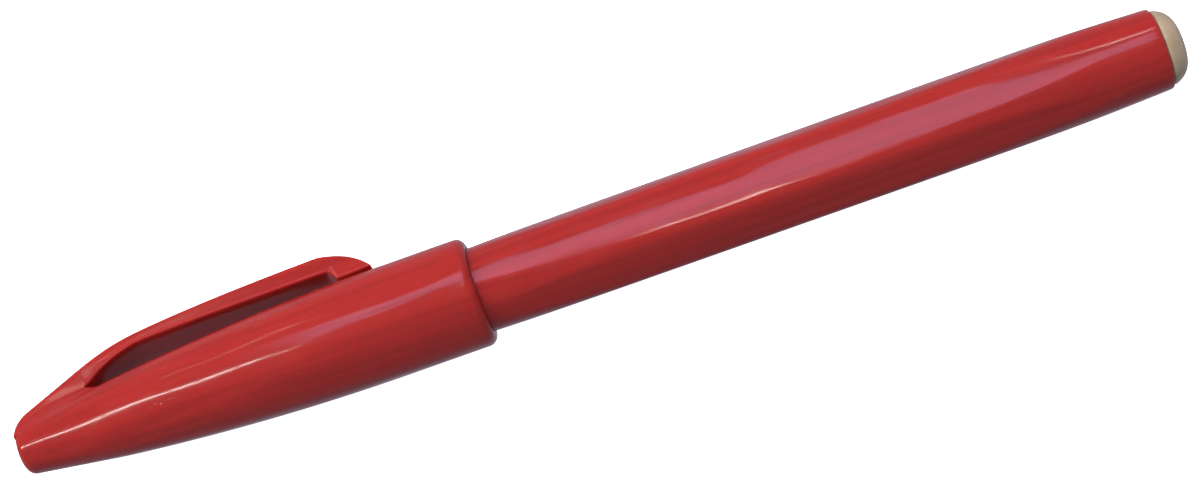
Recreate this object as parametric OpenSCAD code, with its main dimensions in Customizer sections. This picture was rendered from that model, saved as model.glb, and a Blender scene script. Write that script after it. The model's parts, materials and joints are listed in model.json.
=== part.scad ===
// Capped calligraphy marker: rounded hexagonal barrel, fibre nib, ink reservoir and a clip cap.
// The pen's axis is X. The origin is the centre of the flat face of the tail plug, and +X leaves
// the pen there. +Z is up as the pen lies on a table, on its cap rim, its tail and its clip.

/* [Pen] */
// Length of the capped pen
pen_l = 137; // [136:0.1:138]
// Angle of one barrel ridge, from +Y towards +Z
ridge_turn = 103; // [90:0.5:150]

/* [Cap] */
// Length of the cap, from its tip to its rim
cap_l = 54.8; // [54:0.1:55.5]
// Radius of the cap's straight band
cap_r = 6.27; // [6.2:0.01:6.4]
// Wall of the cap
cap_wall = 1.1; // [0.9:0.05:1.2]
// Length of the straight band behind the rounded rim
band_l = 9.2; // [8:0.1:10]
// Radius of the rim's rounded edge
rim_round = 1.1; // [0.6:0.1:1.2]

/* [Clip] */
// Angle of the clip below the horizontal, on the +Y side
clip_drop = 28.5; // [20:0.5:35]
// Width of the clip
clip_w = 4.8; // [4:0.1:5.2]
// Greatest height of the clip above the pen's axis
clip_h = 9.95; // [9.7:0.05:10.2]

/* [Barrel] */
// Radius to the middle of a barrel facet, halfway along
facet_r = 4.92; // [4.88:0.01:4.98]
// Radius of the shallow crown of each facet
facet_crown_r = 15; // [12:0.5:18]
// Radius of the round neck under the cap
neck_r = 4.88; // [4.84:0.01:4.9]
// Radius of the barrel's bore
bore_r = 3.75; // [3.6:0.05:3.8]

/* [Tail plug] */
// Radius of the plug's head
plug_r = 4.27; // [4.1:0.01:4.4]
// Height of the plug's head
plug_h = 2.4; // [2:0.1:2.6]

/* [Nib] */
// Radius of the nib's shank
nib_r = 1; // [0.9:0.05:1.02]
// Length of nib that shows in front of its collar
nib_out = 4.6; // [3.5:0.1:5]

/* [Hidden] */
$fn = 96;
fit = 0.05;         // radial clearance of a running fit
seat = 0.02;        // radial clearance of a pressed seat
sides = 6;

tip_x = -pen_l;
rim_x = cap_l - pen_l;
tail_x = -plug_h;   // end of the barrel, under the plug's head

// Cap outline: straight band, one long arc, then a cone to the rounded tip
band_x = rim_x - rim_round - band_l;
arc_l = 33.5;
arc_r = 285;
cone_slope = 0.145;
cone_x = band_x - arc_l;
cone_r = cap_r - arc_l * arc_l / (2 * arc_r);
tip_round = 1.1;
mouth_r = neck_r + 0.07;
cavity_end = tip_x + 3.2;

// Barrel outline, at its ridges
front_x = rim_x - 13.8;
neck_x = rim_x + 0.7;
mid_front = -62;
mid_rear = -32;
ridge_front_r = 5.24;
ridge_rear_r = 5.3;
tail_r = 4.64;
tail_round = 0.3;
facet_mid_x = -45;
facet_tilt = 0.086;
facet_l = 130;
rib_w = 0.6;        // long ribs inside the barrel and the cap

// Nib and its holder
holder_tip = front_x - 20.5;
land_r = 2.9;
collar_r = 1.53;
collar_tip = holder_tip - 1.5;
collar_l = 15;
nib_tip = collar_tip - nib_out;
feed_r = 1.2;
feed_x = front_x - 5;
feed_l = 25;
reservoir_r = 3.42;
film = 0.08;
reservoir_x = front_x + 12;
reservoir_end = -13;

// Inner cap
liner_mouth = holder_tip + 7;
liner_wall = 0.6;
liner_r = land_r + fit + liner_wall;
liner_step = liner_mouth - 10;
liner_end = liner_mouth - 16;

// Clip, in its own plane: x along the pen and h away from the axis
hinge_x = tip_x + 9.1;
hinge_h = 5.88;
root_r = 0.8;
free_x = rim_x - 10.9;
bump_x = free_x - 4.3;
bump_h = cap_r + 0.05;
clip_in = clip_h - 2.3;
web_top = [tip_x + 2.2, 3.5];
web_nose = [tip_x + 0.35, 1.7];
web_foot = 0.5;

function arc(c, r, a, b, n = 12) = [for (i = [0:n]) c + r * [cos(a + (b - a) * i / n), sin(a + (b - a) * i / n)]];
function curve(a, b, c, n = 12) = [for (i = [0:n]) let (t = i / n) a * (1 - t) * (1 - t) + b * 2 * t * (1 - t) + c * t * t];
function steps(a, b, n) = [for (i = [0:n]) a + (b - a) * i / n];

function cap_r_at(x) =
    x > band_x ? cap_r :
    x > cone_x ? cap_r - (band_x - x) * (band_x - x) / (2 * arc_r) :
    cone_r - cone_slope * (cone_x - x);
function cavity_r_at(x) = min(mouth_r, cap_r_at(x) - cap_wall);

function ridge_r_at(x) =
    x < mid_front ? ridge_front_r - (ridge_front_r - neck_r) * pow((mid_front - x) / (mid_front - neck_x), 2) :
    x > mid_rear ? ridge_rear_r - (ridge_rear_r - tail_r) * pow((x - mid_rear) / (tail_x - mid_rear), 2) :
    ridge_front_r + (ridge_rear_r - ridge_front_r) * (x - mid_front) / (mid_rear - mid_front);

// Turns a half outline of [radius, x] points about the pen's axis
module revolve(points) {
    rotate([0, 90, 0]) rotate_extrude() polygon(points);
}

// Puts an outline of [x, h] points, extruded to the clip's width, on the clip's side of the pen
module in_clip_plane(w) {
    rotate([-90 - clip_drop, 0, 0]) rotate([90, 0, 0]) linear_extrude(w, center = true) children();
}

module cap_outside() {
    tip_r = cap_r_at(tip_x + tip_round) - tip_round;
    revolve(concat(
        [[0, tip_x]],
        arc([tip_r, tip_x + tip_round], tip_round, -90, -8, 6),
        [for (x = steps(cone_x, band_x, 20)) [cap_r_at(x), x]],
        arc([cap_r - rim_round, rim_x - rim_round], rim_round, 0, 90, 8),
        [[0, rim_x]]));
}

module cap_cavity() {
    revolve(concat(
        [[0, cavity_end]],
        [for (x = steps(cavity_end, cone_x, 1)) [cavity_r_at(x), x]],
        [for (x = steps(cone_x, band_x, 20)) [cavity_r_at(x), x]],
        [[mouth_r, rim_x + 1], [0, rim_x + 1]]));
}

// Solid web that joins the clip to the cap's tip, with a round socket for the clip's root
module clip_web() {
    back = hinge_x - 0.05;
    in_clip_plane(clip_w) polygon(concat(
        [[tip_x + 0.05, web_foot]],
        curve(web_nose, [tip_x + 0.8, 2.95], web_top, 6),
        [[back, hinge_h + root_r], [back, web_foot]]));
}

module liner_ribs() {
    rib_l = 12;
    root = 0.3;
    mouth_x = liner_mouth - 1;
    intersection() {
        revolve(concat(
            [for (x = steps(liner_end, mouth_x, 12)) [cavity_r_at(x) + root, x]],
            [[liner_r + seat, mouth_x], [liner_r + seat, liner_end]]));
        for (k = [0:sides - 1])
            rotate([60 * k, 0, 0]) translate([mouth_x - rib_l / 2, 0, mouth_r])
                cube([rib_l, rib_w, mouth_r], center = true);
    }
}

module cap_shell() {
    color("#b9342c") {
        difference() {
            union() {
                cap_outside();
                clip_web();
            }
            cap_cavity();
            in_clip_plane(clip_w + 1) translate([hinge_x, hinge_h]) circle(root_r + fit);
        }
        liner_ribs();
    }
}

module cap_clip() {
    shoulder = [hinge_x + 6.8, clip_h - 1.32];
    peak = [bump_x - 1.5, clip_h];
    toe = [free_x, bump_h + 0.2];
    throat = [hinge_x + 6.8, clip_in - 0.3];
    root = [hinge_x + 0.03, cap_r_at(hinge_x) + 0.15];
    heel = [bump_x, bump_h];
    foot_l = 1.7;
    heel_round = 0.8;
    color("#b9342c") {
        in_clip_plane(clip_w) translate([hinge_x, hinge_h]) circle(root_r);
        in_clip_plane(clip_w) polygon(concat(
            [[hinge_x, hinge_h + root_r]],
            curve([hinge_x, hinge_h + root_r], [hinge_x + 3.3, clip_h - 1.77], shoulder),
            curve(shoulder, [hinge_x + 14.9, clip_h - 0.28], peak, 16),
            curve(peak, [free_x - 1.8, clip_h - 0.65], toe),
            [heel + [foot_l, 0]],
            [heel],
            arc([bump_x - heel_round, clip_in - heel_round], heel_round, 0, 90, 6),
            curve([bump_x - 1.2, clip_in], [hinge_x + 12, clip_in], throat, 12),
            curve(throat, [hinge_x + 3.2, clip_in - 0.9], root, 12),
            [[hinge_x, hinge_h]]));
    }
}

module inner_cap() {
    small_r = liner_r - 0.8;
    color("#d9d4c6") revolve([
        [land_r + fit, liner_mouth], [liner_r, liner_mouth], [liner_r, liner_step],
        [small_r, liner_step - 2.5], [small_r, liner_end], [0, liner_end],
        [0, liner_end + liner_wall], [small_r - liner_wall, liner_end + liner_wall],
        [small_r - liner_wall, liner_step - 2.3], [land_r + fit, liner_step + 0.2]]);
}

module barrel_facets() {
    intersection_for(k = [0:sides - 1])
        rotate([ridge_turn - 60 + 60 * k, 0, 0])
            translate([facet_mid_x, 0, facet_r - facet_crown_r])
                rotate([0, 90 - facet_tilt, 0])
                    cylinder(h = facet_l, r = facet_crown_r, center = true);
}

module bore_ribs() {
    start_x = reservoir_x + 3;
    end_x = reservoir_end - 3;
    root_r = bore_r + 0.2;
    crest_r = reservoir_r + film + fit;
    intersection() {
        revolve([[root_r, start_x], [root_r, end_x], [crest_r, end_x], [crest_r, start_x]]);
        for (k = [0:sides - 1])
            rotate([60 * k, 0, 0]) translate([(start_x + end_x) / 2, 0, bore_r])
                cube([end_x - start_x, rib_w, 2], center = true);
    }
}

module barrel() {
    color("#b0302b") {
        difference() {
            intersection() {
                revolve(concat(
                    [[0, front_x], [neck_r - 0.3, front_x], [neck_r, front_x + 0.3]],
                    [for (x = steps(neck_x, mid_front, 10)) [ridge_r_at(x), x]],
                    [for (x = steps(mid_rear, tail_x - tail_round, 14)) [ridge_r_at(x), x]],
                    arc([tail_r - tail_round, tail_x - tail_round], tail_round, 0, 90, 5),
                    [[0, tail_x]]));
                barrel_facets();
            }
            revolve([[0, front_x - 1], [bore_r, front_x - 1], [bore_r, tail_x + 1], [0, tail_x + 1]]);
        }
        bore_ribs();
    }
}

module end_plug() {
    flat_r = 1.3;
    land_l = 0.4;
    shank_l = 8;
    lead = 0.5;
    hollow_r = 2.7;
    shank_r = bore_r - seat;
    shank_x = tail_x - shank_l;
    color("#cdc3a8") revolve(concat(
        [[0, 0]],
        curve([flat_r, 0], [3.6, 0], [plug_r, tail_x + land_l], 8),
        [[plug_r, tail_x], [shank_r, tail_x], [shank_r, shank_x + lead],
         [shank_r - 0.4, shank_x], [hollow_r, shank_x], [hollow_r, tail_x - lead], [0, tail_x - lead]]));
}

module nib_holder() {
    shank_r = bore_r - seat;
    shank_l = 9;
    shoulder_r = 4.6;
    collar_end = collar_tip + collar_l;
    color("#a92f2a") revolve([
        [feed_r + fit, front_x + shank_l], [shank_r - 0.4, front_x + shank_l], [shank_r, front_x + shank_l - 0.5],
        [shank_r, front_x], [shoulder_r, front_x], [shoulder_r, front_x - 1.6], [shoulder_r - 0.3, front_x - 2],
        [land_r, holder_tip + 7.5], [land_r, holder_tip + 3.5], [2, holder_tip], [collar_r + seat, holder_tip],
        [collar_r + seat, collar_end], [feed_r + fit, collar_end]]);
}

module nib_collar() {
    color("#e2ddd0") revolve([
        [nib_r + seat, collar_tip], [collar_r - 0.35, collar_tip], [collar_r, collar_tip + 0.6],
        [collar_r, collar_tip + collar_l], [nib_r + seat, collar_tip + collar_l]]);
}

module nib() {
    point_r = 0.3;
    point_l = 3.6;
    color("#8f2226") revolve(concat(
        [[0, feed_x]],
        [[nib_r, feed_x], [nib_r, nib_tip + point_l]],
        arc([0, nib_tip + point_r], point_r, -10, -90, 6)));
}

module ink_feed() {
    color("#a83a3c") revolve([[0, feed_x], [feed_r, feed_x], [feed_r, feed_x + feed_l], [0, feed_x + feed_l]]);
}

module ink_reservoir() {
    feed_end = feed_x + feed_l;
    color("#b4474a") revolve([
        [feed_r + seat, reservoir_x], [reservoir_r, reservoir_x], [reservoir_r, reservoir_end],
        [0, reservoir_end], [0, feed_end], [feed_r + seat, feed_end]]);
}

module reservoir_film() {
    color("#e8e8e8", 0.5) revolve([
        [reservoir_r, reservoir_x], [reservoir_r + film, reservoir_x],
        [reservoir_r + film, reservoir_end], [reservoir_r, reservoir_end]]);
}

cap_shell();
cap_clip();
inner_cap();
barrel();
end_plug();
nib_holder();
nib_collar();
nib();
ink_feed();
ink_reservoir();
reservoir_film();
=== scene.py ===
import json
import math

import bpy
from mathutils import Matrix, Vector


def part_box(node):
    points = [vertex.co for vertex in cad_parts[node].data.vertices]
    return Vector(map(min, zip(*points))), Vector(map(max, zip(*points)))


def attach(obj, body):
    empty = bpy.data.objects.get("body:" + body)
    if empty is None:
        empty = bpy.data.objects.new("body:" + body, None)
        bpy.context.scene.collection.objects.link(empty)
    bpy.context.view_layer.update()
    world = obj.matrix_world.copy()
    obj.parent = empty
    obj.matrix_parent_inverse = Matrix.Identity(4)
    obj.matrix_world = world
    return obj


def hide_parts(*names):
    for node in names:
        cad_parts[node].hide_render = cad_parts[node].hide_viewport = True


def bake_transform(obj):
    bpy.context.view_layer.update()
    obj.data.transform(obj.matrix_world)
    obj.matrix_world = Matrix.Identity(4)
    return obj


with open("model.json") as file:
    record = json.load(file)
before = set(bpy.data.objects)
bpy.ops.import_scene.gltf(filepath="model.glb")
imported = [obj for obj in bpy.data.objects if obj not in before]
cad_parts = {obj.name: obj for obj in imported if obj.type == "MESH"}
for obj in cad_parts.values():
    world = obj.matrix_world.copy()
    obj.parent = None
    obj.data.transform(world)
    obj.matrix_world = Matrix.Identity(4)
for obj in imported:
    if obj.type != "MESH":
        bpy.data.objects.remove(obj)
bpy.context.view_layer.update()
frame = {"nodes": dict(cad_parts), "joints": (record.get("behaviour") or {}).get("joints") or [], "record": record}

mm = 0.001
joints = {j["name"]: j for j in frame["joints"]}
mounts = {m["name"]: m for m in frame["record"]["mounts"]}
bpy.context.scene.view_settings.view_transform = "Standard"

# places along the pen's axis, all from the frame
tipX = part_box("cap_shell")[0].x
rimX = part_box("cap_shell")[1].x
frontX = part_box("barrel")[0].x
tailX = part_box("barrel")[1].x
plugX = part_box("end_plug")[1].x
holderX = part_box("nib_holder")[0].x
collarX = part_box("nib_collar")[0].x
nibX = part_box("nib")[0].x
hinge = Vector(joints["clip_flex"]["pos_m"])
flexAxis = Vector(joints["clip_flex"]["axis"])
clipTurn = math.atan2(flexAxis.y, flexAxis.z)  # angle of the clip below the horizontal
hingeHeight = math.hypot(hinge.y, hinge.z)
bandRadius = mounts["cap_band"]["dims"]["r_mm"] * mm
bandLength = mounts["cap_band"]["dims"]["length_mm"] * mm
bandX = mounts["cap_band"]["pos_m"][0] - bandLength / 2
print("frame read: pen", round((plugX - tipX) / mm, 1), "mm long")

cameraView = {
    "elevation": math.radians(86.5),
    "turn": math.radians(19.55),        # how far the pen's tail rises to the right
    "distance": 320 * mm,
    "over": -54.1 * mm,                 # place along the pen that the camera stands over
    "aim": -67.85 * mm,                 # place along the pen at the middle of the frame
    "above": 0.68 * mm,
    "lens": 86.3,
}


def placeCamera(view):
    up = Vector((0, math.sin(view["elevation"]), math.cos(view["elevation"])))
    out = Vector((0, -math.cos(view["elevation"]), math.sin(view["elevation"])))
    spot = Vector((view["over"], 0, 0)) + out * view["distance"]
    back = (spot - Vector((view["aim"], 0, 0)) - up * view["above"]).normalized()
    along = (Vector((1, 0, 0)) - back * back.x).normalized()
    across = back.cross(along)
    right = along * math.cos(view["turn"]) - across * math.sin(view["turn"])
    data = bpy.data.cameras.new("camera")
    data.lens = view["lens"]
    data.clip_start = 0.01
    camera = bpy.data.objects.new("camera", data)
    bpy.context.collection.objects.link(camera)
    rows = Matrix((right, back.cross(right), back)).transposed().to_4x4()
    camera.matrix_world = Matrix.Translation(spot) @ rows
    bpy.context.scene.camera = camera


placeCamera(cameraView)
print("camera placed")


def linear(hexText):
    parts = [int(hexText[i:i + 2], 16) / 255 for i in (1, 3, 5)]
    return [p / 12.92 if p <= 0.04045 else ((p + 0.055) / 1.055) ** 2.4 for p in parts] + [1]


def repeats(*sizes):
    # how often a pattern of these sizes, in millimetres along x, y and z, repeats in a metre
    return [1000 / size for size in sizes]


def addNode(tree, kind, settings=None, links=None):
    node = tree.nodes.new(kind)
    for name, value in (settings or {}).items():
        if isinstance(name, int) or name in node.inputs:
            node.inputs[name].default_value = value
        else:
            setattr(node, name, value)
    for name, source in (links or {}).items():
        tree.links.new(source, node.inputs[name])
    return node


def newMaterial(name, spec):
    material = bpy.data.materials.new(name)
    material.use_nodes = True
    tree = material.node_tree
    shader = tree.nodes["Principled BSDF"]
    shader.inputs["Base Color"].default_value = linear(spec["colour"])
    shader.inputs["Roughness"].default_value = spec["roughness"]
    shader.inputs["IOR"].default_value = spec["ior"]
    place = addNode(tree, "ShaderNodeTexCoord").outputs["Object"]
    return material, tree, shader, place


# polypropylene, injection moulded in a polished mould: glossy, with a slight ripple and orange peel
# in its shine, long faint flow lines from the gate, and fine scratches and nicks from handling
redGloss = {
    "colour": "#89221e",
    "flowColour": "#7f1e1b",
    "roughness": 0.13,
    "wornRoughness": 0.34,
    "ior": 1.49,
    "shine": 0.2,                       # the skin's shine is weaker than a clean polished face's
    "glow": 0.7,                        # the red is a little see-through, so shaded parts glow
    "glowDepth": 2.2,                   # mm, for the red part of the light
    "glowReach": (1, 0.12, 0.08),       # shares of that depth for red, green and blue
    "ripple": (18, 4, 4),               # mm along the pen and round it
    "rippleHeight": 0.3,               # mm
    "peel": (6, 1.1, 1.1),
    "peelHeight": 0.003,
    "flow": (40, 1.1, 1.1),
    "flowBand": (0.42, 0.64),           # part of the noise that shows as flow lines
    "scratch": (14, 0.16, 0.16),        # drawn wider than a real hairline, so that it shows
    "scratchHeight": 0.008,
    "scratchBand": (0.66, 0.76),
    "nick": 2.6,                        # mm between places where a nick may be
    "nickRim": (0.03, 0.07),            # shares of that, from full depth to the rim
    "nickRarity": 0.86,                 # share of the places left without one
    "nickHeight": 0.03,
}


def makeRedGloss(name, spec):
    material, tree, shader, place = newMaterial(name, spec)
    fields = {}
    for part, detail in (("ripple", 1), ("peel", 2), ("flow", 3), ("scratch", 2)):
        spot = addNode(tree, "ShaderNodeMapping", {"Scale": repeats(*spec[part])}, {"Vector": place})
        noise = addNode(tree, "ShaderNodeTexNoise", {"Scale": 1, "Detail": detail},
                        {"Vector": spot.outputs[0]})
        fields[part] = noise.outputs["Fac"]
    # only the highest streaks of the fine noise are scratches
    low, high = spec["scratchBand"]
    scratches = addNode(tree, "ShaderNodeMapRange", {"From Min": low, "From Max": high},
                        {"Value": fields["scratch"]}).outputs[0]
    nicks = addNode(tree, "ShaderNodeTexVoronoi", {"Scale": 1000 / spec["nick"], "Randomness": 1},
                    {"Vector": place})
    low, high = spec["nickRim"]
    nickDepth = addNode(tree, "ShaderNodeMapRange",
                        {"From Min": low, "From Max": high, "To Min": 1, "To Max": 0},
                        {"Value": nicks.outputs["Distance"]}).outputs[0]
    rareNick = addNode(tree, "ShaderNodeMath", {"operation": "GREATER_THAN", 1: spec["nickRarity"]},
                       {0: nicks.outputs["Color"]}).outputs[0]
    nickDepth = addNode(tree, "ShaderNodeMath", {"operation": "MULTIPLY"},
                        {0: nickDepth, 1: rareNick}).outputs[0]
    low, high = spec["flowBand"]
    streaks = addNode(tree, "ShaderNodeMapRange", {"From Min": low, "From Max": high},
                      {"Value": fields["flow"]}).outputs[0]
    tint = addNode(tree, "ShaderNodeMix", {"data_type": "RGBA", 6: linear(spec["colour"]),
                                           7: linear(spec["flowColour"])}, {"Factor": streaks})
    tree.links.new(tint.outputs[2], shader.inputs["Base Color"])
    wear = addNode(tree, "ShaderNodeMath", {"operation": "MAXIMUM"}, {0: scratches, 1: nickDepth}).outputs[0]
    gloss = addNode(tree, "ShaderNodeMapRange",
                    {"To Min": spec["roughness"], "To Max": spec["wornRoughness"]}, {"Value": wear})
    tree.links.new(gloss.outputs[0], shader.inputs["Roughness"])
    height = addNode(tree, "ShaderNodeMath", {"operation": "MULTIPLY", 1: spec["rippleHeight"]},
                     {0: fields["ripple"]}).outputs[0]
    for field, amount in ((fields["peel"], spec["peelHeight"]), (scratches, -spec["scratchHeight"]),
                          (nickDepth, -spec["nickHeight"])):
        height = addNode(tree, "ShaderNodeMath", {"operation": "MULTIPLY_ADD", 1: amount},
                         {0: field, 2: height}).outputs[0]
    bump = addNode(tree, "ShaderNodeBump", {"Distance": mm}, {"Height": height})
    tree.links.new(bump.outputs[0], shader.inputs["Normal"])
    shader.inputs["Specular IOR Level"].default_value = spec["shine"]
    shader.inputs["Subsurface Weight"].default_value = spec["glow"]
    shader.inputs["Subsurface Radius"].default_value = spec["glowReach"]
    shader.inputs["Subsurface Scale"].default_value = spec["glowDepth"] * mm
    return material


# low-density polyethylene, injection moulded: waxy and a little see-through, so light spreads inside it
# and its edges look soft, with a fine grain and a few grey rub marks
waxPlastic = {
    "tailPlug": {"colour": "#9c8e74", "shade": "#86785a", "roughness": 0.36, "ior": 1.51,
                 "glow": 0.35, "depth": 0.9, "grain": 0.25, "cloud": 2.4, "height": 0.004},
    "liner": {"colour": "#dcd8ca", "shade": "#cfc9b8", "roughness": 0.42, "ior": 1.51,
              "glow": 0.25, "depth": 1.0, "grain": 0.3, "cloud": 4, "height": 0.004},
    "collar": {"colour": "#e4e0d5", "shade": "#d8d2c3", "roughness": 0.3, "ior": 1.48,
               "glow": 0.1, "depth": 0.5, "grain": 0.2, "cloud": 3, "height": 0.002},
}


def makeWaxPlastic(name, spec):
    material, tree, shader, place = newMaterial(name, spec)
    cloud = addNode(tree, "ShaderNodeTexNoise", {"Scale": 1000 / spec["cloud"], "Detail": 3},
                    {"Vector": place})
    grain = addNode(tree, "ShaderNodeTexNoise", {"Scale": 1000 / spec["grain"], "Detail": 2},
                    {"Vector": place})
    marks = addNode(tree, "ShaderNodeMapRange", {"From Min": 0.4, "From Max": 0.7},
                    {"Value": cloud.outputs["Fac"]})
    tint = addNode(tree, "ShaderNodeMix", {"data_type": "RGBA", 6: linear(spec["colour"]),
                                           7: linear(spec["shade"])}, {"Factor": marks.outputs[0]})
    gloss = addNode(tree, "ShaderNodeMapRange",
                    {"To Min": spec["roughness"], "To Max": spec["roughness"] + 0.12},
                    {"Value": marks.outputs[0]})
    height = addNode(tree, "ShaderNodeMath", {"operation": "MULTIPLY", 1: spec["height"]},
                     {0: grain.outputs["Fac"]})
    bump = addNode(tree, "ShaderNodeBump", {"Distance": mm}, {"Height": height.outputs[0]})
    tree.links.new(tint.outputs[2], shader.inputs["Base Color"])
    tree.links.new(gloss.outputs[0], shader.inputs["Roughness"])
    tree.links.new(bump.outputs[0], shader.inputs["Normal"])
    shader.inputs["Subsurface Weight"].default_value = spec["glow"]
    shader.inputs["Subsurface Radius"].default_value = (1, 0.8, 0.5)
    shader.inputs["Subsurface Scale"].default_value = spec["depth"] * mm
    return material


# bonded fibre, extruded as a rod and ground to shape: fine strands along the pen, dull where dry
# and darker and shinier where the ink stands between them
fibreRod = {
    "nib": {"colour": "#7c1a20", "shade": "#4f0d14", "roughness": 0.5, "ior": 1.4, "strand": 0.1,
            "height": 0.012},
    "felt": {"colour": "#b2474b", "shade": "#7d2329", "roughness": 0.75, "ior": 1.4, "strand": 0.16,
             "height": 0.03},
}


def makeFibreRod(name, spec):
    material, tree, shader, place = newMaterial(name, spec)
    strand = spec["strand"]
    spot = addNode(tree, "ShaderNodeMapping", {"Scale": repeats(30 * strand, strand, strand)},
                   {"Vector": place})
    strands = addNode(tree, "ShaderNodeTexNoise", {"Scale": 1, "Detail": 2}, {"Vector": spot.outputs[0]})
    gaps = addNode(tree, "ShaderNodeMapRange", {"From Min": 0.38, "From Max": 0.62},
                   {"Value": strands.outputs["Fac"]})
    tint = addNode(tree, "ShaderNodeMix", {"data_type": "RGBA", 6: linear(spec["shade"]),
                                           7: linear(spec["colour"])}, {"Factor": gaps.outputs[0]})
    gloss = addNode(tree, "ShaderNodeMapRange",
                    {"To Min": spec["roughness"] - 0.25, "To Max": spec["roughness"]},
                    {"Value": gaps.outputs[0]})
    height = addNode(tree, "ShaderNodeMath", {"operation": "MULTIPLY", 1: spec["height"]},
                     {0: gaps.outputs[0]})
    bump = addNode(tree, "ShaderNodeBump", {"Distance": mm}, {"Height": height.outputs[0]})
    tree.links.new(tint.outputs[2], shader.inputs["Base Color"])
    tree.links.new(gloss.outputs[0], shader.inputs["Roughness"])
    tree.links.new(bump.outputs[0], shader.inputs["Normal"])
    shader.inputs["Sheen Weight"].default_value = 0.2
    return material


# polypropylene film, cast and wrapped: clear and thin, so it shows as a shine with faint lengthwise creases
clearFilm = {"colour": "#eef0f2", "roughness": 0.12, "ior": 1.49, "clear": 0.85, "crease": (30, 0.7, 0.7),
             "height": 0.03}


def makeClearFilm(name, spec):
    material, tree, shader, place = newMaterial(name, spec)
    spot = addNode(tree, "ShaderNodeMapping", {"Scale": repeats(*spec["crease"])}, {"Vector": place})
    crease = addNode(tree, "ShaderNodeTexNoise", {"Scale": 1, "Detail": 2}, {"Vector": spot.outputs[0]})
    height = addNode(tree, "ShaderNodeMath", {"operation": "MULTIPLY", 1: spec["height"]},
                     {0: crease.outputs["Fac"]})
    bump = addNode(tree, "ShaderNodeBump", {"Distance": mm}, {"Height": height.outputs[0]})
    tree.links.new(bump.outputs[0], shader.inputs["Normal"])
    shader.inputs["Transmission Weight"].default_value = spec["clear"]
    return material


redPlastic = makeRedGloss("injectionMouldedPolypropyleneRed", redGloss)
plugPlastic = makeWaxPlastic("mouldedPolyethyleneCream", waxPlastic["tailPlug"])
linerPlastic = makeWaxPlastic("mouldedPolyethyleneWhite", waxPlastic["liner"])
collarPlastic = makeWaxPlastic("turnedAcetalWhite", waxPlastic["collar"])
nibFibre = makeFibreRod("groundAcrylicFibreInked", fibreRod["nib"])
feltFibre = makeFibreRod("bondedPolyesterFibreInked", fibreRod["felt"])
filmClear = makeClearFilm("castPolypropyleneFilm", clearFilm)
print("materials made")


def dress(piece, material, body, node):
    # finish, body and CAD node of a finished piece
    piece.data.materials.clear()
    piece.data.materials.append(material)
    if body:
        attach(piece, body)
    if node:
        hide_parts(node)


def selectOnly(piece):
    bpy.ops.object.select_all(action="DESELECT")
    piece.select_set(True)
    bpy.context.view_layer.objects.active = piece


def turnedPiece(name, rings, segments=128):
    # a circle at the first ring, pulled along the axis and scaled to each ring after it
    bpy.ops.object.select_all(action="DESELECT")
    x, radius = rings[0]
    bpy.ops.mesh.primitive_circle_add(vertices=segments, radius=radius, location=(x, 0, 0),
                                      rotation=(0, math.pi / 2, 0))
    piece = bpy.context.object
    piece.name = name
    bpy.ops.object.transform_apply(location=True, rotation=True, scale=True)
    bpy.ops.object.mode_set(mode="EDIT")
    bpy.ops.mesh.select_all(action="SELECT")
    for (oldX, oldR), (newX, newR) in zip(rings, rings[1:]):
        bpy.ops.mesh.extrude_region_move(TRANSFORM_OT_translate={"value": (newX - oldX, 0, 0)})
        bpy.ops.transform.resize(value=(1, newR / oldR, newR / oldR), center_override=(newX, 0, 0))
    bpy.ops.object.mode_set(mode="OBJECT")
    return piece


def closeEnds(piece):
    # open rims are filled with a face each, and all faces are turned outwards
    selectOnly(piece)
    bpy.ops.object.mode_set(mode="EDIT")
    bpy.ops.mesh.select_all(action="DESELECT")
    bpy.ops.mesh.select_mode(type="EDGE")
    bpy.ops.mesh.select_non_manifold()
    bpy.ops.mesh.edge_face_add()
    bpy.ops.mesh.select_all(action="SELECT")
    bpy.ops.mesh.normals_make_consistent(inside=False)
    bpy.ops.object.mode_set(mode="OBJECT")


def bridgeEnds(piece):
    # a ring-shaped piece: its first and last circles are joined
    selectOnly(piece)
    bpy.ops.object.mode_set(mode="EDIT")
    bpy.ops.mesh.select_all(action="DESELECT")
    bpy.ops.mesh.select_mode(type="EDGE")
    bpy.ops.mesh.select_non_manifold()
    bpy.ops.mesh.bridge_edge_loops()
    bpy.ops.mesh.select_all(action="SELECT")
    bpy.ops.mesh.normals_make_consistent(inside=False)
    bpy.ops.object.mode_set(mode="OBJECT")


def smoothPiece(piece, angle=35):
    selectOnly(piece)
    bpy.ops.object.shade_smooth_by_angle(angle=math.radians(angle))


def between(low, high, count):
    return [low + (high - low) * i / count for i in range(count + 1)]


def roundCorner(x, radius, size, start, end, count=6):
    # ring places round a turned edge whose centre is at x and radius
    angles = [math.radians(a) for a in between(start, end, count)]
    return [(x + size * math.cos(a), radius + size * math.sin(a)) for a in angles]


def curvePoints(start, control, end, count):
    # points of a curve that leaves start towards control and arrives at end from it
    points = []
    for t in between(0, 1, count):
        points.append(tuple(a * (1 - t) ** 2 + 2 * b * t * (1 - t) + c * t * t
                            for a, b, c in zip(start, control, end)))
    return points


def pressRings(piece, outline):
    # moves each vertex in or out along its own ray, to the section that the outline gives there
    for vertex in piece.data.vertices:
        radius = math.hypot(vertex.co.y, vertex.co.z)
        angle = math.atan2(vertex.co.z, vertex.co.y)
        pressed = outline(vertex.co.x, angle, radius)
        vertex.co.y = pressed * math.cos(angle)
        vertex.co.z = pressed * math.sin(angle)


def blendLow(a, b, width):
    # the smaller of two values, with a round change-over
    h = max(0.0, width - abs(a - b)) / width
    return min(a, b) - h * h * width / 4


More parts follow.
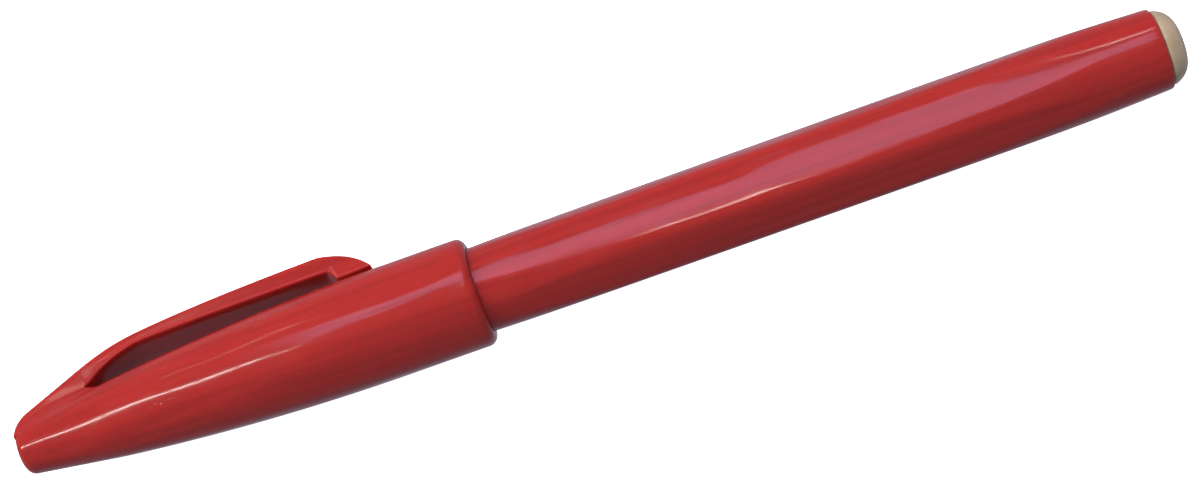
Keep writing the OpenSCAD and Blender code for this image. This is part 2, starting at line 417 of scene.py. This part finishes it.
barrel = {
    "ridgeTurn": math.radians(103),
    "facetRadius": 4.92 * mm,
    "facetTaper": 0.0015,               # facets stand further out towards the tail
    "facetMiddle": -45 * mm,
    "crownRadius": 15 * mm,
    "neckRadius": 4.88 * mm,
    "ridgeFront": (-62 * mm, 5.24 * mm),
    "ridgeRear": (-32 * mm, 5.3 * mm),
    "tailRadius": 4.64 * mm,
    "tailRound": 0.3 * mm,
    "frontBevel": 0.3 * mm,
    "boreRadius": 3.75 * mm,
    "boreShown": 1.2 * mm,
    "edgeBlend": 0.09 * mm,
    "bead": 0.05 * mm,                  # snap bead on the neck, inside the cap
    "beadPlace": 2.5 * mm,
}


def ridgeRadius(x):
    spec = barrel
    frontPlace, frontRadius = spec["ridgeFront"]
    rearPlace, rearRadius = spec["ridgeRear"]
    neckPlace = rimX + 0.7 * mm
    if x < neckPlace:
        return spec["neckRadius"]
    if x < frontPlace:
        part = (frontPlace - x) / (frontPlace - neckPlace)
        return frontRadius - (frontRadius - spec["neckRadius"]) * part * part
    if x > rearPlace:
        part = (x - rearPlace) / (tailX - rearPlace)
        return rearRadius - (rearRadius - spec["tailRadius"]) * part * part
    return frontRadius + (rearRadius - frontRadius) * (x - frontPlace) / (rearPlace - frontPlace)


def barrelSection(x, angle, radius):
    spec = barrel
    if radius < 4.1 * mm:
        return radius
    pressed = radius
    crown = spec["crownRadius"]
    offset = crown - spec["facetRadius"] - spec["facetTaper"] * (x - spec["facetMiddle"])
    for side in range(6):
        turn = angle - spec["ridgeTurn"] - math.radians(30 + 60 * side)
        if math.cos(turn) > 0.5:
            reach = -offset * math.cos(turn) + math.sqrt(crown ** 2 - (offset * math.sin(turn)) ** 2)
            pressed = blendLow(pressed, reach, spec["edgeBlend"])
    return pressed


def makeBarrel():
    spec = barrel
    edge = spec["tailRound"]
    neck = spec["neckRadius"]
    bead = frontX + spec["beadPlace"]
    rings = [(tailX - spec["boreShown"], spec["boreRadius"]), (tailX, spec["boreRadius"])]
    rings += roundCorner(tailX - edge, spec["tailRadius"] - edge, edge, 0, 90, 4)
    rings += [(x, ridgeRadius(x)) for x in reversed(between(rimX - 1 * mm, tailX - 2 * edge, 90))]
    rings += [(bead + 0.6 * mm, neck), (bead + 0.2 * mm, neck + spec["bead"]),
              (bead - 0.2 * mm, neck + spec["bead"]), (bead - 0.6 * mm, neck)]
    rings += [(frontX + spec["frontBevel"], neck), (frontX, neck - spec["frontBevel"]),
              (frontX, spec["boreRadius"]), (frontX + spec["boreShown"], spec["boreRadius"])]
    piece = turnedPiece("barrelTube", rings, 192)
    pressRings(piece, barrelSection)
    bridgeEnds(piece)
    smoothPiece(piece, 30)
    dress(piece, redPlastic, "pen", "barrel")


makeBarrel()
print("barrel made")

plug = {
    "radius": 4.27 * mm,
    "flat": 1.3 * mm,
    "dome": 3.6 * mm,
    "land": 0.4 * mm,
    "seatGap": 0.14 * mm,
    "shankRadius": 3.72 * mm,
    "gateRadius": 0.6 * mm,             # shallow dimple that the moulding gate leaves
    "gateDepth": 0.12 * mm,
}


def makePlug():
    spec = plug
    rings = [(tailX - 1 * mm, spec["shankRadius"]), (tailX - 0.02 * mm, spec["shankRadius"]),
             (tailX + 0.02 * mm, spec["radius"] - spec["seatGap"]), (tailX + spec["seatGap"], spec["radius"])]
    rings += curvePoints((tailX + spec["land"], spec["radius"]), (plugX, spec["dome"]),
                         (plugX, spec["flat"]), 14)
    dimpleX = plugX - spec["gateDepth"]
    rings += [(plugX, spec["gateRadius"] + 0.1 * mm), (plugX - 0.03 * mm, spec["gateRadius"]),
              (dimpleX, spec["gateRadius"] - 0.12 * mm), (dimpleX, 0.1 * mm)]
    piece = turnedPiece("tailPlug", rings, 128)
    closeEnds(piece)
    smoothPiece(piece, 40)
    dress(piece, plugPlastic, "pen", "end_plug")


makePlug()
print("tail plug made")

cap = {
    "arcLength": 33.5 * mm,
    "arcRadius": 285 * mm,
    "coneSlope": 0.145,
    "tipRound": 1.1 * mm,
    "rimRound": 1.1 * mm,
    "mouthRadius": 4.95 * mm,
    "wall": 1.1 * mm,
    "cavityEnd": 3.2 * mm,
    "webFillet": 0.7 * mm,
    "gateRadius": 0.55 * mm,
    "gateDepth": 0.1 * mm,
}
clip = {
    "width": 4.8 * mm,
    "height": 9.95 * mm,
    "thickness": 2.3 * mm,              # of the arm at its highest
    "free": 10.9 * mm,                  # from the cap's rim to the clip's toe
    "bump": 4.3 * mm,
    "edgeRound": 0.28 * mm,
    "rootRadius": 0.8 * mm,
    # places behind the hinge, and drops from the full height
    "rise": (3.3 * mm, 1.77 * mm),
    "shoulder": (6.8 * mm, 1.32 * mm),
    "back": (14.9 * mm, 0.28 * mm),
    # the same along the inner line, with drops from the arm's inside
    "innerRise": (3.2 * mm, 0.9 * mm),
    "innerThroat": 0.3 * mm,
    "innerBack": 12 * mm,
    "peakSetBack": 1.5 * mm,            # from the bump's start to the highest place
    "toeCurve": (1.8 * mm, 0.65 * mm),  # place before the toe, and drop
    "toeHeight": 0.25 * mm,             # of the toe's end above the band
    "bumpRise": (1.2 * mm, 0.1 * mm),   # before the bump: where the curve starts and steepens
    "soleGap": 0.06 * mm,               # between the bump and the cap
    "soleLength": 1.7 * mm,
    "toeLift": 0.16 * mm,
    "rootLength": 1.2 * mm,             # part of the arm that stays inside the cap's web
    "rootFoot": 3.95 * mm,
    "rootInset": 0.03 * mm,
}


def capRadius(x):
    spec = cap
    coneX = bandX - spec["arcLength"]
    if x > bandX:
        return bandRadius
    if x > coneX:
        return bandRadius - (bandX - x) ** 2 / (2 * spec["arcRadius"])
    coneR = bandRadius - spec["arcLength"] ** 2 / (2 * spec["arcRadius"])
    return coneR - spec["coneSlope"] * (coneX - x)


def clipOuter():
    # the arm's outer line, from the hinge to the toe, as places along the pen and heights above its axis
    top = clip["height"]
    toeX = rimX - clip["free"]
    start = (hinge.x, hingeHeight + clip["rootRadius"])
    shoulder = (hinge.x + clip["shoulder"][0], top - clip["shoulder"][1])
    peak = (toeX - clip["bump"] - clip["peakSetBack"], top)
    toe = (toeX, bandRadius + clip["toeHeight"])
    line = curvePoints(start, (hinge.x + clip["rise"][0], top - clip["rise"][1]), shoulder, 12)
    line += curvePoints(shoulder, (hinge.x + clip["back"][0], top - clip["back"][1]), peak, 24)[1:]
    line += curvePoints(peak, (toeX - clip["toeCurve"][0], top - clip["toeCurve"][1]), toe, 14)[1:]
    return line


def clipInner():
    inside = clip["height"] - clip["thickness"]
    toeX = rimX - clip["free"]
    bumpX = toeX - clip["bump"]
    throat = (hinge.x + clip["shoulder"][0], inside - clip["innerThroat"])
    sole = bandRadius + clip["soleGap"]
    rise = (hinge.x + clip["innerRise"][0], inside - clip["innerRise"][1])
    line = curvePoints((hinge.x, clip["rootFoot"]), rise, throat, 12)
    riseStart = (bumpX - clip["bumpRise"][0], inside)
    riseSteep = (bumpX - clip["bumpRise"][1], inside)
    line += curvePoints(throat, (hinge.x + clip["innerBack"], inside), riseStart, 12)[1:]
    line += curvePoints(riseStart, riseSteep, (bumpX, sole), 6)[1:]
    line += [(bumpX + clip["soleLength"], sole), (toeX, sole + clip["toeLift"])]
    return line


def heightOn(line, x):
    for (x0, h0), (x1, h1) in zip(line, line[1:]):
        if x <= x1:
            return h0 + (h1 - h0) * (x - x0) / max(x1 - x0, 1e-9)
    return line[-1][1]


def behind(x, place):
    # a place measured from x along the pen, with its height above the axis
    return x + place[0], place[1]


clipWeb = {
    # from the cap's tip
    "nose": (0.05 * mm, 1.2 * mm),
    "brow": (0.6 * mm, 2.9 * mm),
    "crest": (2.2 * mm, 3.5 * mm),
    # a small ramp under the arm's root, from the hinge
    "rampCurve": (0.5 * mm, 3.75 * mm),
    "rampEnd": (1.3 * mm, 3.2 * mm),
    "skin": 0.05 * mm,                  # rings deeper than this are the cap's inside
    "gateZone": 1 * mm,                 # rings smaller than this are the gate's
    "spread": 0.3,                      # cosine of the furthest turn from the clip
    "reach": 12 * mm,                   # from the axis, further out than any web
}
webLine = curvePoints(behind(tipX, clipWeb["nose"]), behind(tipX, clipWeb["brow"]),
                      behind(tipX, clipWeb["crest"]), 8)
webLine += [(hinge.x, hingeHeight + clip["rootRadius"])]
footLine = curvePoints((hinge.x, clip["rootFoot"]), behind(hinge.x, clipWeb["rampCurve"]),
                       behind(hinge.x, clipWeb["rampEnd"]), 5)


def webDepth(x, up, side):
    # distance outside the web's rounded section, less than nothing inside it
    top = heightOn(webLine, x) if x <= hinge.x else heightOn(footLine, x)
    edge = clip["edgeRound"]
    a = abs(side) - clip["width"] / 2 + edge
    b = up - top + edge
    return math.hypot(max(a, 0), max(b, 0)) + min(max(a, b), 0) - edge


def capSection(x, angle, radius):
    # the cap's round section joined to the clip's web by a fillet
    outside = capRadius(x)
    if x > hinge.x + clipWeb["rampEnd"][0] or radius < clipWeb["gateZone"]:
        return radius
    if radius < outside - clipWeb["skin"] and x > tipX + cap["tipRound"]:
        return radius
    turn = angle + clipTurn             # from the clip's own direction
    if math.cos(turn) < clipWeb["spread"]:
        return radius
    low, high = radius * 0.9, clipWeb["reach"]
    for step in range(26):
        middle = (low + high) / 2
        web = webDepth(x, middle * math.cos(turn), middle * math.sin(turn))
        if blendLow(middle - radius, web, cap["webFillet"]) < 0:
            low = middle
        else:
            high = middle
    return low


def makeCap():
    spec = cap
    edge = spec["tipRound"]
    mouth = spec["mouthRadius"]
    gate = spec["gateRadius"]
    tipRadius = capRadius(tipX + edge) - edge
    rings = [(tipX + spec["gateDepth"], 0.1 * mm), (tipX + spec["gateDepth"], gate - 0.12 * mm),
             (tipX + 0.02 * mm, gate), (tipX, gate + 0.08 * mm), (tipX, tipRadius * 0.7)]
    rings += [(tipX + edge - edge * math.cos(a), tipRadius + edge * math.sin(a))
              for a in between(0, math.radians(82), 8)]
    rings += [(x, capRadius(x)) for x in between(tipX + edge * 1.1, hinge.x - 0.02 * mm, 26)]
    rings += [(x, capRadius(x)) for x in between(hinge.x + 0.02 * mm, hinge.x + 1.4 * mm, 10)]
    rings += [(x, capRadius(x)) for x in between(hinge.x + 2 * mm, bandX, 44)]
    rings += [(x, bandRadius) for x in between(bandX, bandX + bandLength, 6)[1:-1]]
    rings += reversed(roundCorner(rimX - spec["rimRound"], bandRadius - spec["rimRound"],
                                  spec["rimRound"], 0, 90, 10))
    rings += [(rimX, mouth + 0.08 * mm), (rimX - 0.08 * mm, mouth)]
    rings += [(x, min(mouth, capRadius(x) - spec["wall"]))
              for x in reversed(between(tipX + spec["cavityEnd"], rimX - 1 * mm, 24))]
    rings += [(tipX + spec["cavityEnd"], 0.4 * mm)]
    piece = turnedPiece("capShell", rings, 256)
    pressRings(piece, capSection)
    closeEnds(piece)
    smoothPiece(piece, 35)
    dress(piece, redPlastic, "cap", "cap_shell")


makeCap()
print("cap made")


def makeClip():
    spec = clip
    outer, inner = clipOuter(), clipInner()
    inset = spec["rootInset"]
    narrow = spec["width"] - 2 * inset
    stations = [(x, spec["rootFoot"] + inset, heightOn(webLine, x) - inset, narrow)
                for x in between(hinge.x - spec["rootLength"], hinge.x - inset, 4)]
    places = between(hinge.x, rimX - spec["free"] - spec["bump"] - 1.4 * mm, 44)
    places += between(places[-1], rimX - spec["free"], 26)[1:]
    stations += [(x, heightOn(inner, x), heightOn(outer, x), spec["width"]) for x in places]
    x, low, high, wide = stations[0]
    bpy.ops.object.select_all(action="DESELECT")
    bpy.ops.mesh.primitive_plane_add(size=1, location=(x, 0, (low + high) / 2), rotation=(0, math.pi / 2, 0))
    piece = bpy.context.object
    piece.name = "clipArm"
    piece.scale = (high - low, wide, 1)
    bpy.ops.object.transform_apply(location=True, rotation=True, scale=True)
    bpy.ops.object.mode_set(mode="EDIT")
    bpy.ops.mesh.select_all(action="SELECT")
    bpy.ops.mesh.bevel(offset=spec["edgeRound"], offset_type="OFFSET", segments=6, affect="VERTICES")
    bpy.ops.mesh.select_all(action="SELECT")
    for before, after in zip(stations, stations[1:]):
        middle = (after[1] + after[2]) / 2
        bpy.ops.mesh.extrude_region_move(TRANSFORM_OT_translate={
            "value": (after[0] - before[0], 0, middle - (before[1] + before[2]) / 2)})
        taller = (after[2] - after[1]) / (before[2] - before[1])
        bpy.ops.transform.resize(value=(1, after[3] / before[3], taller),
                                 center_override=(after[0], 0, middle))
    bpy.ops.mesh.select_all(action="SELECT")
    bpy.ops.mesh.normals_make_consistent(inside=False)
    bpy.ops.object.mode_set(mode="OBJECT")
    piece.rotation_euler = (-math.pi / 2 - clipTurn, 0, 0)
    bpy.ops.object.transform_apply(location=True, rotation=True, scale=True)
    smoothPiece(piece, 40)
    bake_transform(piece)
    dress(piece, redPlastic, None, "cap_clip")


makeClip()
print("clip made")

liner = {
    "radius": 3.55 * mm,
    "wall": 0.6 * mm,
    "lip": 0.25 * mm,
    "stepBack": 10 * mm,                # from the mouth to the step
    "stepDown": 0.8 * mm,
    "length": 16 * mm,
    "pole": 0.2 * mm,                   # last ring, closed by a flat end
    "mouthChamfer": 0.15 * mm,
    "cone": 2.5 * mm,                   # along the pen, outside
    "innerCone": (0.2 * mm, 2.3 * mm),  # its two ends inside, from the step
    "ribCount": 6,
    "ribWidth": 0.6 * mm,
    "ribLength": 12 * mm,
    "ribSetBack": 1 * mm,               # from the mouth
    "ribLift": 0.02 * mm,               # off the liner
    "ribSink": 0.1 * mm,                # into the cap's wall
    "ribBevel": 0.12 * mm,
}


def makeLiner():
    spec = liner
    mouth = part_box("inner_cap")[1].x
    outer, wall, lip = spec["radius"], spec["wall"], spec["lip"]
    step = mouth - spec["stepBack"]
    end = mouth - spec["length"]
    small = outer - spec["stepDown"]
    rings = [(end, spec["pole"])]
    rings += [(end + lip - lip * math.cos(a), small - lip + lip * math.sin(a))
              for a in between(0, math.pi / 2, 4)]
    rings += [(step - spec["cone"], small), (step, outer)]
    rings += [(mouth - lip + lip * math.sin(a), outer - lip + lip * math.cos(a))
              for a in between(0, math.pi / 2, 4)]
    coneTop, coneFoot = spec["innerCone"]
    rings += [(mouth - spec["mouthChamfer"], outer - wall), (step + coneTop, outer - wall),
              (step - coneFoot, small - wall), (end + wall, small - wall), (end + wall, spec["pole"])]
    piece = turnedPiece("sealLiner", rings, 96)
    closeEnds(piece)
    smoothPiece(piece, 40)
    dress(piece, linerPlastic, "cap", "inner_cap")
    return mouth


def makeLinerRibs(mouth):
    # long ribs that hold the liner in the middle of the cap
    spec = liner
    end = mouth - spec["ribSetBack"]
    start = end - spec["ribLength"]
    for count in range(spec["ribCount"]):
        inner = spec["radius"] + spec["ribLift"]
        outerStart = capRadius(start) - cap["wall"] + spec["ribSink"]
        outerEnd = min(cap["mouthRadius"], capRadius(end) - cap["wall"]) + spec["ribSink"]
        bpy.ops.object.select_all(action="DESELECT")
        bpy.ops.mesh.primitive_plane_add(size=1, location=(start, 0, (inner + outerStart) / 2),
                                         rotation=(0, math.pi / 2, 0))
        piece = bpy.context.object
        piece.name = "linerRib%d" % (count + 1)
        piece.scale = (outerStart - inner, spec["ribWidth"], 1)
        bpy.ops.object.transform_apply(location=True, rotation=True, scale=True)
        bpy.ops.object.mode_set(mode="EDIT")
        bpy.ops.mesh.select_all(action="SELECT")
        bpy.ops.mesh.extrude_region_move(TRANSFORM_OT_translate={
            "value": (end - start, 0, (outerEnd - outerStart) / 2)})
        bpy.ops.transform.resize(value=(1, 1, (outerEnd - inner) / (outerStart - inner)),
                                 center_override=(end, 0, (inner + outerEnd) / 2))
        bpy.ops.mesh.select_all(action="SELECT")
        bpy.ops.mesh.normals_make_consistent(inside=False)
        bpy.ops.mesh.bevel(offset=spec["ribBevel"], segments=2, affect="EDGES")
        bpy.ops.object.mode_set(mode="OBJECT")
        piece.rotation_euler = (math.radians(360 / spec["ribCount"] * count), 0, 0)
        bpy.ops.object.transform_apply(location=True, rotation=True, scale=True)
        smoothPiece(piece, 40)
        dress(piece, redPlastic, "cap", None)


makeLinerRibs(makeLiner())
print("seal liner and its ribs made")

holder = {
    "tipRadius": 2.0 * mm,
    "landRadius": 2.9 * mm,
    "landStart": 3.5 * mm,              # from the holder's tip
    "landEnd": 7.5 * mm,
    "shoulderRadius": 4.6 * mm,
    "shoulderLength": 1.6 * mm,
    "edgeRound": 0.25 * mm,
    "boreRadius": 1.55 * mm,
    "grooves": (9.6, 11.0, 12.4),       # mm from the tip, fine rings on the cone
    "grooveDepth": 0.09 * mm,
    "grooveWidth": 0.45 * mm,
    "boreDepth": 2 * mm,                # modelled part of the bore
    "boreChamfer": (0.15 * mm, 0.12 * mm),
    "noseCurve": (0.9 * mm, 0.23 * mm),  # from the rounded tip, and above its radius
    "coneSetBack": 0.4 * mm,            # from the cone's end to the shoulder
    "shoulderStep": 0.3 * mm,
    "chamfer": 0.12 * mm,
    "shankGap": 0.05 * mm,              # between the shank and the barrel's bore
    "shankLength": 2 * mm,
}


def makeHolder():
    spec = holder
    edge = spec["edgeRound"]
    landEnd = holderX + spec["landEnd"]
    coneEnd = frontX - spec["shoulderLength"] - spec["coneSetBack"]
    coneRadius = spec["shoulderRadius"] - spec["shoulderStep"]
    boreChamfer, noseCurve = spec["boreChamfer"], spec["noseCurve"]

    def coneAt(x):
        return spec["landRadius"] + (coneRadius - spec["landRadius"]) * (x - landEnd) / (coneEnd - landEnd)

    rings = [(holderX + spec["boreDepth"], spec["boreRadius"]),
             (holderX + boreChamfer[0], spec["boreRadius"]),
             (holderX, spec["boreRadius"] + boreChamfer[1]), (holderX, spec["tipRadius"] - edge)]
    rings += [(holderX + edge - edge * math.cos(a), spec["tipRadius"] - edge + edge * math.sin(a))
              for a in between(math.radians(20), math.radians(75), 4)]
    rings += curvePoints((holderX + noseCurve[0], spec["tipRadius"] + noseCurve[1]),
                         (holderX + spec["landStart"] - 0.4 * mm, spec["landRadius"]),
                         (holderX + spec["landStart"] + 0.6 * mm, spec["landRadius"]), 6)
    rings += [(landEnd - 0.3 * mm, spec["landRadius"]), (landEnd, spec["landRadius"] + 0.01 * mm)]
    half = spec["grooveWidth"] / 2
    for groove in spec["grooves"]:
        x = holderX + groove * mm
        rings += [(x - half, coneAt(x - half)), (x - half * 0.5, coneAt(x) - spec["grooveDepth"]),
                  (x + half * 0.5, coneAt(x) - spec["grooveDepth"]), (x + half, coneAt(x + half))]
    shoulder = frontX - spec["shoulderLength"]
    rings += curvePoints((coneEnd, coneRadius), (shoulder - 0.1 * mm, spec["shoulderRadius"] - 0.02 * mm),
                         (shoulder + 0.2 * mm, spec["shoulderRadius"]), 5)
    face = frontX - 0.01 * mm           # just clear of the barrel's end
    shank = barrel["boreRadius"] - spec["shankGap"]
    rings += [(frontX - spec["chamfer"], spec["shoulderRadius"]),
              (face, spec["shoulderRadius"] - spec["chamfer"]),
              (face, shank), (frontX + spec["shankLength"], shank)]
    piece = turnedPiece("nibHolder", rings, 128)
    bridgeEnds(piece)
    smoothPiece(piece, 32)
    dress(piece, redPlastic, "pen", "nib_holder")


collar = {"outerRadius": 1.53 * mm, "innerRadius": 1.02 * mm}


def makeCollar():
    outer, inner = collar["outerRadius"], collar["innerRadius"]
    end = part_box("nib_collar")[1].x
    rings = [(end, inner), (collarX + 0.1 * mm, inner), (collarX, inner + 0.1 * mm)]
    rings += curvePoints((collarX, inner + 0.14 * mm), (collarX + 0.02 * mm, outer - 0.02 * mm),
                         (collarX + 0.7 * mm, outer), 6)
    rings += [(holderX + 1 * mm, outer), (end, outer)]
    piece = turnedPiece("nibCollar", rings, 96)
    bridgeEnds(piece)
    smoothPiece(piece, 40)
    dress(piece, collarPlastic, "pen", "nib_collar")


nib = {
    "radius": 1.0 * mm,
    "pointRadius": 0.3 * mm,
    "pointLength": 3.6 * mm,
    "waist": (2.4 * mm, 0.92 * mm),     # from the point, and the radius that its curve aims at
    "blend": 0.5 * mm,                  # past the point's length, where it meets the rod
    "strands": 26,                      # strands that show round the ground point
    "strandDepth": 0.018,
}


def makeNib():
    spec = nib
    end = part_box("nib")[1].x
    tip = spec["pointRadius"]
    rings = [(nibX + 0.002 * mm, 0.03 * mm)]
    rings += [(nibX + tip - tip * math.cos(a), tip * math.sin(a))
              for a in between(math.radians(12), math.radians(78), 8)]
    rings += curvePoints((nibX + tip * 0.9, tip * 1.02), behind(nibX, spec["waist"]),
                         (nibX + spec["pointLength"] + spec["blend"], spec["radius"]), 16)
    rings += [(collarX + 0.5 * mm, spec["radius"]), (end, spec["radius"])]
    piece = turnedPiece("fibreNib", rings, 104)

    def strandSection(x, angle, radius):
        fine = math.cos(spec["strands"] * angle + 1.2 * math.sin(x / mm))
        wave = fine + 0.6 * math.cos(11 * angle + x / mm)
        return radius * (1 - spec["strandDepth"] * (1 + wave)) if x < collarX else radius

    pressRings(piece, strandSection)
    closeEnds(piece)
    smoothPiece(piece, 60)
    dress(piece, nibFibre, "pen", "nib")


makeHolder()
makeCollar()
makeNib()
print("nib, collar and holder made")

inkPieces = {"ink_feed": feltFibre, "ink_reservoir": feltFibre, "reservoir_film": filmClear}
for nodeName, material in inkPieces.items():
    frame["nodes"][nodeName].data.materials.clear()
    frame["nodes"][nodeName].data.materials.append(material)
print("ink pieces finished")

stage = {
    "floorSize": 1.6,
    "tailDrop": 4.64 * mm,
    "floor": {"colour": "#cfcfcf", "roughness": 0.8, "ior": 1.45},
    "floorGlow": 0.95,                  # a floor lit from below, too even to hold a shadow
    "paperGrain": 0.6,
    "worldColour": "#adb0c0",
}
lamps = {
    # the window that shows as a broad band along the pen
    "window": {"place": (-0.04, 0.33, 0.505), "aim": (-0.06, 0, 0), "size": (0.42, 0.23),
               "power": 1.9, "colour": "#d8d0ff", "seen": True},
    # a narrow bright edge that draws a thin line along the cap
    "strip": {"place": (-0.55, 0.17, 0.55), "aim": (-0.1, 0, 0), "size": (0.6, 0.012),
              "power": 4.6, "colour": "#fff4ee", "seen": True},
    # short bright line on the barrel
    "glint": {"place": (-0.05, 0.16, 0.578), "aim": (-0.05, 0, 0), "size": (0.024, 0.09),
              "power": 0.35, "colour": "#ffffff", "seen": True},
    # faint line above the thin one on the cap
    "streak": {"place": (-0.27, 0.519, 0.3), "aim": (-0.11, 0, 0), "size": (0.09, 0.005),
               "power": 0.08, "colour": "#ffe8dc", "seen": True},
    # thin line over the band, near the tail
    "sill": {"place": (0.135, 0.49, 0.345), "aim": (-0.01, 0, 0), "size": (0.1, 0.008),
             "power": 0.25, "colour": "#ffffff", "seen": True},
    # soft light from above the clip side, too broad to show in the shine
    "sky": {"place": (-0.15, 0.6, 0.75), "aim": (-0.07, 0, 0), "size": (1.1, 1.1),
            "power": 9.2, "colour": "#fff0d4", "seen": False},
}


def makeFloor():
    drop = math.atan2(bandRadius - stage["tailDrop"], tailX - bandX - bandLength)
    bpy.ops.object.select_all(action="DESELECT")
    bpy.ops.mesh.primitive_plane_add(size=stage["floorSize"], location=(tailX, 0, -stage["tailDrop"]),
                                     rotation=(0, -drop, 0))
    floor = bpy.context.object
    floor.name = "floor"
    material, tree, shader, place = newMaterial("mattPaperPale", stage["floor"])
    shader.inputs["Specular IOR Level"].default_value = 0.2
    shader.inputs["Emission Color"].default_value = linear("#ffffff")
    shader.inputs["Emission Strength"].default_value = stage["floorGlow"]
    grain = addNode(tree, "ShaderNodeTexNoise", {"Scale": 1000 / stage["paperGrain"], "Detail": 2},
                    {"Vector": place})
    bump = addNode(tree, "ShaderNodeBump", {"Distance": 0.02 * mm}, {"Height": grain.outputs["Fac"]})
    tree.links.new(bump.outputs[0], shader.inputs["Normal"])
    floor.data.materials.append(material)
    floor.visible_glossy = False        # the room, and not the lit floor, shows in the pen's shine
    floor.visible_diffuse = False


def makeLamp(name, spec):
    data = bpy.data.lights.new(name, "AREA")
    data.shape = "RECTANGLE"
    data.size, data.size_y = spec["size"]
    data.energy = spec["power"]
    data.color = linear(spec["colour"])[:3]
    lamp = bpy.data.objects.new(name, data)
    back = (Vector(spec["place"]) - Vector(spec["aim"])).normalized()
    along = (Vector((1, 0, 0)) - back * back.x).normalized()
    rows = Matrix((along, back.cross(along), back)).transposed().to_4x4()
    lamp.matrix_world = Matrix.Translation(spec["place"]) @ rows
    lamp.visible_glossy = spec["seen"]
    bpy.context.collection.objects.link(lamp)


makeFloor()
for lampName, lampSpec in lamps.items():
    makeLamp(lampName, lampSpec)
world = bpy.data.worlds.new("room")
world.use_nodes = True
world.node_tree.nodes["Background"].inputs["Color"].default_value = linear(stage["worldColour"])
bpy.context.scene.world = world
print("floor and light made")
